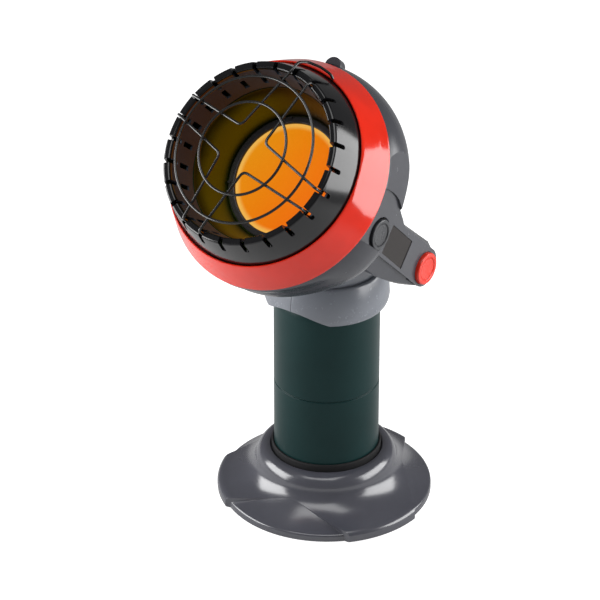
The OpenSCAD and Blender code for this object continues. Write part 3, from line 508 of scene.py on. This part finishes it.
def makeTank(t):
    r, seam, top, wall = t["r"], t["seam"], t["top"], t["wall"]
    foot = (r - t["edge"], t["bottom"] + t["edge"])
    neck = r - wall - 0.1
    lower = [(0, t["bottom"] + 4)] + curve((foot[0] - 14, t["bottom"] + 2.2), (foot[0] - 8, t["bottom"]),
                                           (foot[0] - 4, t["bottom"]), 6)
    lower += turnRound(foot, t["edge"], -90, 0, 10)
    lower += curve((r, seam - 1.4), (r, seam - 0.4), (r - 0.7, seam - 0.2), 4)
    lower += [(neck, seam + 0.6), (neck, seam + t["lap"]), (neck - wall, seam + t["lap"]),
              (neck - wall, seam - 1), (r - wall, seam - 2)]
    lower += turnRound(foot, t["edge"] - wall, 0, -90, 8)
    lower += [(foot[0] - 12, t["bottom"] + wall + 2), (0, t["bottom"] + wall + 4)]
    crown = (r - t["knuckle"], t["shoulder"])
    upper = curve((r - 0.7, seam + 0.4), (r, seam + 0.6), (r, seam + 1.6), 4)
    upper += turnRound(crown, t["knuckle"], 0, 90, 20)
    upper += curve((crown[0] - 6, 226.8), (18, top), (t["hole"], top), 6)
    upper += [(t["hole"], top - wall)] + turnRound(crown, t["knuckle"] - wall, 90, 0, 12)
    upper += [(r - wall, seam + 0.4)]
    relief = bar(t["reliefR"], t["shoulder"], top + 11, 32, Matrix.Translation((t["relief"] * mm, 0, 0)))
    return lathe(lower, 160, closed=False), carve(lathe(upper, 160), relief)


collar = {"r": 58, "bottom": 206.6, "ledge": 243, "neck": 49.3, "wall": 2.6, "archR": 61, "parting": 0.05,
          "screws": [(38, 256), (-40, 262)], "screwHole": 3.6, "post": 4.5, "web": (246.6, 249.6),
          "inlet": 17.9, "coverGap": 0.35}
cover = {"rim": 106.8, "front": -31.2, "r": 110.8, "back": -102, "sheet": 2.5, "neckHole": 36,
         "neckAcross": -8, "screwAngles": (50, 130, 222, 300), "screwR": 93.5, "screwHole": 4.4,
         "side": 100.1, "lean": 5, "flat": 60, "tuck": 0.06, "tuckBelow": (0.45, 0.5),
         "tuckBehind": (32, 18), "lugR": 8.2, "housingGap": 0.4}


def coverOutside(c):
    rim, r, back = c["rim"], c["r"], c["back"]
    return (curve((rim - 1, c["front"] - 0.5), (r + 0.7, -45), (r, -58), 14)
            + curve((r, -58), (r - 0.8, -76), (92, -88.5), 14)[1:]
            + curve((92, -88.5), (66, back), (0, back), 14)[1:])


def coverInside(c):
    rim, r, back, sheet = c["rim"], c["r"], c["back"], c["sheet"]
    return (curve((rim - 3.5, c["front"] - 0.5), (r - 1.8, -45), (r - sheet, -57), 10)
            + curve((r - sheet, -57), (r - 3.3, -74), (90.5, -86.3), 10)[1:]
            + curve((90.5, -86.3), (65, back + sheet), (0, back + sheet), 10)[1:])


def neckLoops(c, grow, sides=96, rings=8):         # circles from the ledge up to the back of the head
    low = Matrix.Translation((0, 0, (c["ledge"] - 1) * mm))
    high = headPlace @ Matrix.Translation((0, cover["neckAcross"] * mm, -93 * mm))
    r = (c["neck"] + grow) * mm
    circle = [Vector((r * cos(tau * k / sides), r * sin(tau * k / sides), 0)) for k in range(sides)]
    return [[(low @ p).lerp(high @ p, k / rings) for p in circle] for k in range(rings + 1)]


def makeNeck(c):
    r, low, ledge, inner = c["r"], c["bottom"], c["ledge"], c["neck"] - c["wall"]
    outside = curve((r - 2, low), (r - 0.6, low + 2), (r, low + 7), 6)
    outside += curve((r - 0.3, 219), (r - 1.2, 229), (r - 4.2, ledge - 4), 8)
    outside += curve((r - 4.4, ledge - 3.4), (r - 5.2, ledge), (c["neck"] + 1.5, ledge), 6)
    inside = [(inner, ledge), (inner, ledge - 4), (r - 7.6, ledge - 5), (r - 3.8, 226),
              (r - 2.8, 214), (r - 3.4, low)]
    arch = bar(c["archR"], -50, 50, 160, Matrix.Translation((0, -r * mm, (low + 11 - c["archR"]) * mm))
               @ Matrix.Rotation(pi / 2, 4, "X"))
    gap = c["coverGap"]
    clear = [(p[0] + gap, p[1] - gap) for p in coverOutside(cover)[:-1]]
    clear = [(0, 60), (110, 60)] + clear + [(0, cover["back"] - gap)]
    inCover = moved(lathe(clear, 128, closed=False), headPlace)
    tube = skin(neckLoops(c, 0) + neckLoops(c, -c["wall"])[::-1], closed=True)
    spots = [alongX(*spot) for spot in c["screws"]]
    posts = joined(*[bar(c["post"], -70, 70, 48, spot) for spot in spots])
    posts = carve(posts, skin(neckLoops(c, -0.5), closed=False), way="INTERSECT")
    shells = [carve(lathe(outside + inside, 192), arch), carve(tube, inCover), posts]
    for spot in spots:
        shells[1:] = [carve(shell, bar(c["screwHole"], 14, 74, 32, spot)) for shell in shells[1:]]
    shells.append(carve(bar(c["neck"] - 1, *c["web"], 96), bar(c["inlet"], 240, 255, 64)))
    halves = []
    for side in (-1, 1):
        pieces = []
        for shell in shells:
            half = shell.copy()
            bmesh.ops.bisect_plane(half, geom=half.verts[:] + half.edges[:] + half.faces[:], dist=1e-7,
                                   plane_co=(side * c["parting"] * mm, 0, 0), plane_no=(side, 0, 0),
                                   clear_inner=True)
            rim = [e for e in half.edges if len(e.link_faces) == 1]
            bmesh.ops.holes_fill(half, edges=rim, sides=0)
            bmesh.ops.recalc_face_normals(half, faces=half.faces)
            pieces.append(easeEdges(half, 0.45, 50, 2, lambda p: abs(p.x) < 0.1))
        halves.append(joined(*pieces))
    return halves


housing = {"face": 97, "half": 18, "middle": -17.5, "start": (-17.5, -66.3), "off": (-19.3, -165.8),
           "front": -32.5, "plate": 2.3, "inner": 52, "webFrom": 74, "webEnd": -106, "lowFront": -31.5,
           "wall": 2.3, "lip": 2.5, "bulge": (80, 88.5), "bulgeLow": 5, "bulgeHigh": 6.5,
           "cupFront": -147.3, "cup": 90, "cupRim": 2.2, "startR": 14.2, "startRaise": 2.4, "offR": 15,
           "offRaise": 3.6, "label": (-83, -126), "labelHalf": 13.5, "labelLean": (-16.6, -19)}


def faceOutline(h, grow=0):            # a round end at the back, a web in front
    half, front = h["half"] + grow, h["front"] + grow
    y, t = h["off"]
    end = turnRound((y + 0.8, t - 0.6), half, 175, 350, 28)
    flank = curve((0.8 + grow, h["webEnd"] - 2), (1.4 + grow, -101), (5.2 + grow, -96), 6)
    flank += curve((5.2 + grow, -96), (10.4 + grow, -85), (17 + grow, -73), 5)[1:]
    flank += curve((17 + grow, -73), (20.4 + grow, -64), (19.8 + grow, -54), 5)[1:]
    return end + flank + [(19 + grow, -44), (17 + grow, front), (h["lowFront"] - grow, front)]


def bellyOutline(h, grow=0, low=0, high=0):        # the bulging sides, let out below and above
    middle, front = h["middle"], h["front"] + grow
    below, above = middle - grow - low, middle + grow + high
    under = curve((below - 20, front), (below - 34.5, -110), (below - 13, -176), 16)
    end = curve((below - 13, -176), (middle - 3, -185 - grow), (above + 13, -176), 10)
    return under + end[1:] + [(above + 16, -168), (above + 16, -100), (middle + grow + 16, front)]


def cupOutline(h, grow=0):             # the well that the off button sinks into
    half, (y, t), front = h["offR"] + h["cupRim"] + grow, h["off"], h["cupFront"] + grow
    return turnRound((y, t), half, 180, 360, 28) + [(y + half, front), (y - half, front)]


def labelOutline(h, grow=0):           # leans a little from the housing's middle line
    half, (a, b), (atA, atB) = h["labelHalf"] + grow, h["label"], h["labelLean"]
    return [(atB - half, b - grow), (atB + half, b - grow), (atA + half, a + grow), (atA - half, a + grow)]


def shellBody(h, grow, top):           # swells from the head's side and narrows to the face plate
    floor = [(x, *p) for x in (h["inner"] - grow, h["inner"] + 8) for p in bellyOutline(h, grow)]
    swell = [(x, *p) for x in h["bulge"] for p in bellyOutline(h, grow, h["bulgeLow"], h["bulgeHigh"])]
    lip = [(x, *p) for x in (top - h["lip"], top) for p in faceOutline(h, grow) if p[0] < 3]
    return hullOf(floor + swell + lip)


def makeShell(h):
    top, wall, web = h["face"] - h["plate"] - 0.2, h["wall"], h["webFrom"]
    shell = carve(shellBody(h, 0, top), slab(faceOutline(h), web, top, "X"), way="UNION")
    space = slab(faceOutline(h, -wall), web + wall, top + 5, "X")
    return carve(shell, shellBody(h, -wall, top), space,
                 slab(cupOutline(h, 0.3), h["cup"] - 0.3, top + 5, "X"))


def makeFace(h):
    x, start, off = h["face"], alongX(*h["start"]), alongX(*h["off"])
    plate = slab(faceOutline(h, 0.3), x - h["plate"], x, "X")
    plate = carve(plate, slab(cupOutline(h), h["cup"], x, "X"), way="UNION")
    easeEdges(plate, 0.8, 50, 3, lambda p: p.x > x - 0.1)
    for well in (bar(h["startR"] + 0.6, x - 10, x + 2, 96, start),
                 bar(h["startR"] + 0.6, x - 1.3, x + 0.1, 96, start, h["startR"] + 1.8),
                 bar(h["offR"] + 0.5, h["cup"] + 2, x + 2, 96, off),
                 slab(labelOutline(h), x - 1.2, x + 2, "X")):
        plate = carve(plate, well)
    return plate


def makeLabel(h):
    return easeEdges(slab(labelOutline(h, -0.2), h["face"] - 1.1, h["face"] - 0.5, "X"), 0.15, 50, 2)


def makeStartButton(h):
    x, r, stem = h["face"] + h["startRaise"], h["startR"], 4
    dish = curve((0, x - 1), (6, x - 1), (9.6, x - 0.7), 8)
    dish += [(9.9, x - 1.1), (10.3, x - 1.1), (10.6, x - 0.3), (11, x), (12, x)]
    skirt = curve((13, x), (r, x - 0.3), (r, x - 1.8), 6) + [(r, 83.9), (r - 1.8, 83.9), (r - 1.8, x - 2.6)]
    post = [(stem, x - 2.6), (stem, 73), (0, 73)]
    return moved(lathe(dish + skirt + post, 96, closed=False), alongX(*h["start"]))


def makeOffButton(h):
    x, r, stem = h["face"] + h["offRaise"], h["offR"], 7.9
    dish = curve((0, x - 1), (6, x - 1), (10, x - 0.6), 8)
    dish += [(10.3, x - 1), (10.7, x - 1), (11, x - 0.3), (11.5, x), (12.5, x)]
    foot = h["face"] - 0.7
    skirt = curve((14, x), (r, x - 0.3), (r, x - 2), 6) + [(r, foot), (r - 1.1, foot), (r - 1.1, x - 1.8)]
    post = [(stem, x - 1.8), (stem, 87), (0, 87)]
    return moved(lathe(dish + skirt + post, 96, closed=False), alongX(*h["off"]))


def ramp(value, start, over):          # 0 up to start, then eases to 1 over the given stretch
    share = min(max((value - start) / over, 0), 1)
    return (3 - 2 * share) * share ** 2


def tuckIn(shell, c):                  # the cover's underside hides behind the bezel
    for v in shell.verts:
        x, y, t = v.co / mm
        r = max(sqrt(x * x + y * y), 1)
        v.co.xy *= 1 - c["tuck"] * ramp(-y / r, *c["tuckBelow"]) * ramp(-t, *c["tuckBehind"])


def flatten(shell, c):                 # the cover's side is cut flat above the housing and closed there
    side, top, lean = c["side"], c["flat"], Matrix.Rotation(radians(c["lean"]), 4, "Z")
    whole = lathe([(0, -30)] + coverOutside(c), 224, closed=False)
    lid = slab([(0, -28), (top, -28), (top, -104), (0, -104)], side - c["sheet"], side, "X")
    outer = slab([(0, -33), (top, -33), (top, -110), (0, -110)], side, 130, "X")
    shell = carve(shell, carve(moved(lid, lean), whole, way="INTERSECT"), way="UNION")
    shell = carve(shell, moved(outer, lean))
    return easeEdges(shell, 2.5, 8, 4, lambda p: p.x > 70 and p.y > 24 and p.z < -34 and p.xy.length > 104)


def makeCover(c):
    rim, front, gap = c["rim"], c["front"], c["housingGap"]
    section = [(rim - 6.4, -27.5), (rim - 4.4, -27.5), (rim - 3.4, front - 0.5)] + coverOutside(c)
    section += coverInside(c)[::-1] + [(rim - 5.4, front - 1.5)]
    shell = lathe(section, 224, closed=False)
    bmesh.ops.bridge_loops(shell, edges=[e for e in shell.edges if len(e.link_faces) == 1])
    bmesh.ops.recalc_face_normals(shell, faces=shell.faces)
    lug = carve(bar(c["lugR"], -52, -42, 64, Matrix.Translation((0, (c["r"] - 2) * mm, 0))),
                bar(c["r"] - 1.5, -70, -20, 224))
    easeEdges(lug, 0.9, 50, 4)
    shell = carve(shell, lug, way="UNION")
    tuckIn(shell, c)
    shell = flatten(shell, c)
    inner, face = housing["inner"] - gap, housing["face"]
    swell = bellyOutline(housing, gap, housing["bulgeLow"], housing["bulgeHigh"])
    holes = [bar(c["neckHole"], -300, -80, 96, Matrix.Translation((0, c["neckAcross"] * mm, 0))),
             slab(faceOutline(housing, gap), inner, 300, "X"),
             slab(bellyOutline(housing, gap), inner, face - 3, "X"), slab(swell, 70, face - 5, "X")]
    for a in c["screwAngles"]:
        spot = Matrix.Rotation(radians(a), 4, "Z") @ Matrix.Translation((c["screwR"] * mm, 0, 0))
        holes.append(bar(c["screwHole"], -300, -74, 40, spot))
    for hole in holes:
        shell = carve(shell, hole)
    return shell


bezel = {"lip": 93.4, "rim": 106.8, "back": -31.2}


def makeBezel(b):
    rim, back = b["rim"], b["back"]
    profile = curve((b["lip"], -0.6), (b["lip"] + 0.3, 0.1), (94.6, -0.1), 5)
    profile += curve((95.2, -0.9), (99.4, -11), (102.8, -19.8), 12)
    profile += curve((103, -20.4), (105.2, -26), (rim, -30), 8)
    profile += curve((rim, -30), (rim + 0.1, back), (rim - 0.8, back), 4)[1:]
    profile += [(rim - 2.2, back), (rim - 4, -26.2), (100.5, -19.8), (97, -11.4), (92.9, -3.2)]
    return lathe(profile, 224)


ring = {"slots": 24, "turn": 6.4, "slotWidth": 4.2, "slotEnd": 20.2, "ventWidth": 4.6, "vent": (3.5, 15)}


def makeFrontRing(g):
    profile = [(84.4, 26.6)] + curve((84.2, 27.5), (83.8, 30), (81.6, 30), 5)
    profile += curve((79.6, 30), (77.2, 30), (77, 27.5), 5)
    profile += [(76.7, 25), (71.5, -3.5), (73.7, -3.5), (78.9, 24.8), (80.5, 27), (82, 26.6), (90.1, 0.4),
                (89.4, -6), (91.6, -6), (92.4, 0.4)]
    band = lathe(profile, 288)
    half, end = g["slotWidth"] / 2, g["slotEnd"]
    outline = turnRound((0, end), half, 180, 360, 10) + [(half, 33), (-half, 33)]
    slots = repeated(slab(outline, 75, 95, "X"), g["slots"], g["turn"])
    (low, high), half = g["vent"], g["ventWidth"] / 2
    vent = slab([(-half, low), (half, low), (half, high), (-half, high)], 69, 78.4, "X")
    band = carve(band, slots, repeated(vent, g["slots"], g["turn"]))
    return easeEdges(band, 0.35, 48, 2)


bowl = {"mouth": 88, "sheet": 1, "front": -3.9, "foot": -46.2, "window": (-45, -36), "windowHalf": 13}


def makeBowl(b):
    sheet, front, foot = b["sheet"], b["front"], b["foot"]
    wall = curve((71, front - 1), (64.5, -22), (58.5, foot), 22)
    back = [(p[0] + sheet + 0.1, p[1] - sheet) for p in wall]
    profile = [(b["mouth"], front), (70.8, front)] + wall + [(54.6, foot), (54.6, foot - sheet)]
    profile += back[::-1] + [(b["mouth"], front - sheet)]
    (low, high), half = b["window"], b["windowHalf"]
    window = slab([(-half, low), (half, low), (half, high), (-half, high)], 50, 80, "X")
    return carve(lathe(profile, 192), window)


burner = {"tile": 51.6, "tileFace": -47.4, "tileLap": 1.3, "thick": 7.6, "ringFace": -44.5,
          "ringBack": -46.1, "ringOut": 58}


def makeTile(b):
    r, t, back = b["tile"] + b["tileLap"], b["tileFace"], b["tileFace"] - b["thick"]
    profile = [(0, t), (20, t), (40, t), (r - 0.6, t), (r, t - 0.6), (r, back), (0, back)]
    return lathe(profile, 128, closed=False)


def makeBurnerRing(b):
    r, t, front, back, out = b["tile"], b["tileFace"], b["ringFace"], b["ringBack"], b["ringOut"]
    profile = [(r, t + 0.3)] + curve((r, front - 1.4), (r, front), (r + 1.6, front), 5)
    profile += curve((out - 1.4, front), (out, front), (out, front - 1.2), 4)
    profile += [(out, back), (r + 1.2, back), (r + 1.2, t + 0.3)]
    return lathe(profile, 160)


guard = {"wire": 1.25, "inner": (42.2, 41.6), "outer": (66.6, 39), "half": 15, "bend": 5.5, "legR": 80.5,
         "legEnd": 23, "pitch": 15, "turn": -16.1, "under": 2.58, "weld": (1.75, 1.75, 1.5)}


def makeGuard(g):
    rings = []
    for r, t in (g["inner"], g["outer"]):
        rings.append(([(r * cos(a), r * sin(a), t) for a in [tau * k / 120 for k in range(120)]], True))
    fall = (g["inner"][1] - g["outer"][1]) / (g["outer"][0] - g["inner"][0] + 1)

    def height(x):                     # the corner wires lie just under both rings
        return g["inner"][1] - g["under"] - fall * (x - g["inner"][0] + 2)

    def polar(r, angle, t):
        return (r * cos(radians(angle)), r * sin(radians(angle)), t)

    half = g["half"]
    foot = polar(g["legR"], g["pitch"] / 2, 0)
    foot = (foot[0], foot[1], height(foot[0]))
    corner = (half, half, height(half))
    shortLeg = [(foot[0], foot[1], g["legEnd"]), foot]
    longLeg = [polar(95, -3.9, 1.6), polar(96.8, -2.6, 5), polar(96.5, 2, 13), polar(94, 6.5, 23),
               polar(89, 8.2, 32), polar(82, 7.7, height(81.3))]
    otherLeg = [(foot[1], foot[0], foot[2]), (foot[1], foot[0], g["legEnd"])]
    wires = []
    for q in range(4):
        turn = Matrix.Rotation(radians(g["turn"] + 90 * q), 3, "Z")
        first = cornersBent((longLeg if q == 1 else shortLeg) + [corner], 3, 6)
        last = cornersBent([corner] + otherLeg, 3, 6)
        inner = curve(Vector(corner) + g["bend"] * (Vector(first[-2]) - Vector(corner)).normalized(), corner,
                      Vector(corner) + g["bend"] * (Vector(last[1]) - Vector(corner)).normalized(), 10)
        wires.append(([turn @ Vector(p) for p in first[:-1] + inner + last[1:]], False))
    welds = []
    for q in range(4):
        for r, t in (g["inner"], g["outer"]):
            for way in (1, -1):
                side = half - (half - foot[1]) * (r - half) / (foot[0] - half)
                x = sqrt(r * r - side * side)
                blob = bmesh.new()
                bmesh.ops.create_icosphere(blob, subdivisions=2, radius=1)
                spot = (x, side, t - 1.3) if way > 0 else (side, x, t - 1.3)
                size = Matrix.Diagonal((*(Vector(g["weld"]) * mm), 1))
                welds.append(moved(blob, Matrix.Rotation(radians(g["turn"] + 90 * q), 4, "Z")
                                   @ Matrix.Translation(Vector(spot) * mm) @ size))
    return joined(wirePath(rings, g["wire"], 16), wirePath(wires, g["wire"], 16), *welds)


keep("standBell", makeStand(stand), "stand", "stand", ["stand_base"], onHead=False, smooth=28)
keep("gripRing", makeGripRing(stand), "stand", "rubber", ["grip_ring"], onHead=False)
lowerHalf, upperHalf = makeTank(tank)
keep("tankLower", lowerHalf, "cylinder", "cylinder", ["cylinder_lower_half"], onHead=False)
keep("tankUpper", upperHalf, "cylinder", "cylinder", ["cylinder_upper_half"], onHead=False)
leftHalf, rightHalf = makeNeck(collar)
keep("neckLeft", leftHalf, "head", "neck", ["neck_left"], onHead=False)
keep("neckRight", rightHalf, "head", "neck", ["neck_right"], onHead=False)
keep("housingShell", makeShell(housing), "head", "housing", ["control_shell"])
keep("housingFace", makeFace(housing), "head", "housing", ["control_face"])
keep("labelPlate", makeLabel(housing), "head", "label", ["label_plate"])
keep("startButton", makeStartButton(housing), "start_button", "start", ["start_button"])
keep("offButton", makeOffButton(housing), "off_button", "off", ["off_button"])
keep("rearCover", makeCover(cover), "head", "housing", ["rear_cover"])
keep("redBezel", makeBezel(bezel), "head", "bezel", ["red_bezel"])
keep("frontRing", makeFrontRing(ring), "head", "ring", ["front_ring"])
keep("reflectorBowl", makeBowl(bowl), "head", "bowl", ["reflector_bowl"])
keep("glowingTile", makeTile(burner), "head", "tile", ["ceramic_tile"])
keep("burnerRing", makeBurnerRing(burner), "head", "burner", ["burner_ring"])
keep("wireGuard", makeGuard(guard), "head", "wire", ["wire_guard"])

for part in frame["record"]["subparts"]:           # the pieces inside keep their solids
    solid = nodes[part["node"]]
    solid.data.materials.clear()
    solid.data.materials.append(finishes[part["material_slot"]])


studio = {"floor": (0.5, 0.5, 0.5), "floorSize": 25, "white": 1.0, "reflected": 0.22, "world": 0.16,
          "lens": 192.6, "camera": (1.4714, -2.0979, 1.6819), "turn": (60, 0, 35.6), "aim": (0, -0.05, 0.3),
          "lights": [                              # place, size, strength
              ((0.693, 0.4, 0.39), (0.8, 0.5), 7.5),
              ((-0.613, -0.514, 0.37), (0.7, 0.5), 8),
              ((0.2, -0.6, 2.0), (1.4, 1.2), 15)]}


def makeStage(s):
    floor = bmesh.new()
    bmesh.ops.create_grid(floor, x_segments=1, y_segments=1, size=s["floorSize"])
    mesh = bpy.data.meshes.new("floor")
    floor.to_mesh(mesh)
    plane = bpy.data.objects.new("floor", mesh)
    bpy.context.scene.collection.objects.link(plane)
    pale = Finish("floor", {"Base Color": (*s["floor"], 1), "Roughness": 0.9, "Emission Strength": 1.0})
    # the floor is whiter to the eye than in reflections
    seen = pale.add("ShaderNodeLightPath", output="Is Camera Ray")
    pale.feed(pale.shader, {"Emission Color": pale.tint(seen, (s["reflected"],) * 3, (s["white"],) * 3)})
    mesh.materials.append(pale.material)
    world = bpy.data.worlds.new("studio")
    world.use_nodes = True
    backdrop = world.node_tree.nodes["Background"]
    backdrop.inputs["Color"].default_value = (1, 1, 1, 1)
    backdrop.inputs["Strength"].default_value = s["world"]
    bpy.context.scene.world = world
    for place, size, power in s["lights"]:
        lamp = bpy.data.lights.new("softbox", "AREA")
        lamp.shape = "RECTANGLE"
        lamp.size, lamp.size_y = size
        lamp.energy = power
        box = bpy.data.objects.new("softbox", lamp)
        box.location = place
        box.rotation_euler = (Vector(s["aim"]) - Vector(place)).to_track_quat("-Z", "Y").to_euler()
        bpy.context.scene.collection.objects.link(box)
    lens = bpy.data.cameras.new("camera")
    lens.lens, lens.sensor_width = s["lens"], 36
    camera = bpy.data.objects.new("camera", lens)
    camera.location = s["camera"]
    camera.rotation_euler = [radians(angle) for angle in s["turn"]]
    bpy.context.scene.collection.objects.link(camera)
    bpy.context.scene.camera = camera
    bpy.context.scene.view_settings.view_transform = "Standard"


makeStage(studio)
print("stage set")
